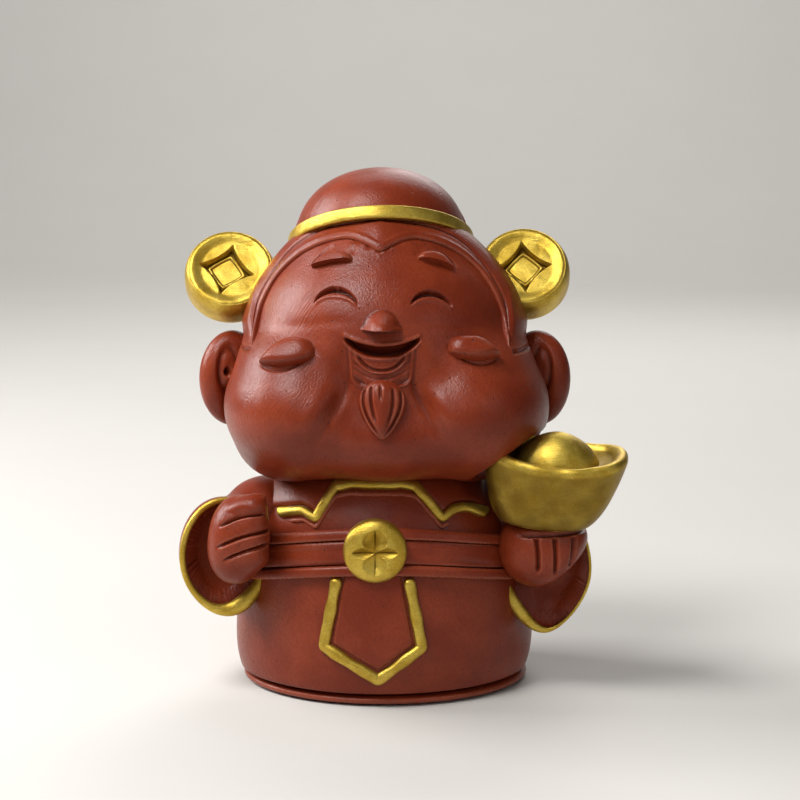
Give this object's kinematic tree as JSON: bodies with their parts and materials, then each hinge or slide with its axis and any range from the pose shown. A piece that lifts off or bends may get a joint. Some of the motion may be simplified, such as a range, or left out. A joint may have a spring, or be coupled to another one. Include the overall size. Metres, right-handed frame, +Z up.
{
  "type": "god of wealth tea pet",
  "caption": "Small hollow clay figurine of a smiling god of wealth in robe and winged hat, holding an ingot, made to sit on a tea tray",
  "frame": {"origin": "centre of the flat underside of the base plate", "axes": "+Z up, the figure faces -Y, +X towards the figure's own left hand with the ingot"},
  "size_m": [0.0759, 0.0507, 0.09],
  "materials": {
    "red_clay": "unglazed red clay, burnished to a satin sheen",
    "gold_paint": "gold paint brushed on fired clay, with a fine metallic grain"
  },
  "bodies": {
    "root": {"base_plate": "red_clay", "robe_shell": "red_clay", "collar_panel_right": "red_clay", "collar_panel_left": "red_clay", "collar_trim": "gold_paint", "apron_panel": "red_clay", "apron_trim": "gold_paint", "sash_band": "red_clay", "sash_cord_upper": "red_clay", "sash_cord_lower": "red_clay", "belt_buckle": "gold_paint", "sleeve_right": "red_clay", "sleeve_left": "red_clay", "cuff_trim_right": "gold_paint", "cuff_trim_left": "gold_paint", "hand_right": "red_clay", "hand_left": "red_clay", "ingot_hull": "gold_paint", "ingot_dome": "gold_paint", "head_shell": "red_clay", "nose": "red_clay", "beard": "red_clay", "hood": "red_clay", "hat_crown": "red_clay", "hat_back_tier": "red_clay", "hat_band": "gold_paint", "eyebrow_right": "red_clay", "eyebrow_left": "red_clay", "moustache_right": "red_clay", "moustache_left": "red_clay", "ear_right": "red_clay", "ear_left": "red_clay", "hat_coin_right": "gold_paint", "hat_coin_left": "gold_paint"}
  },
  "joints": []
}
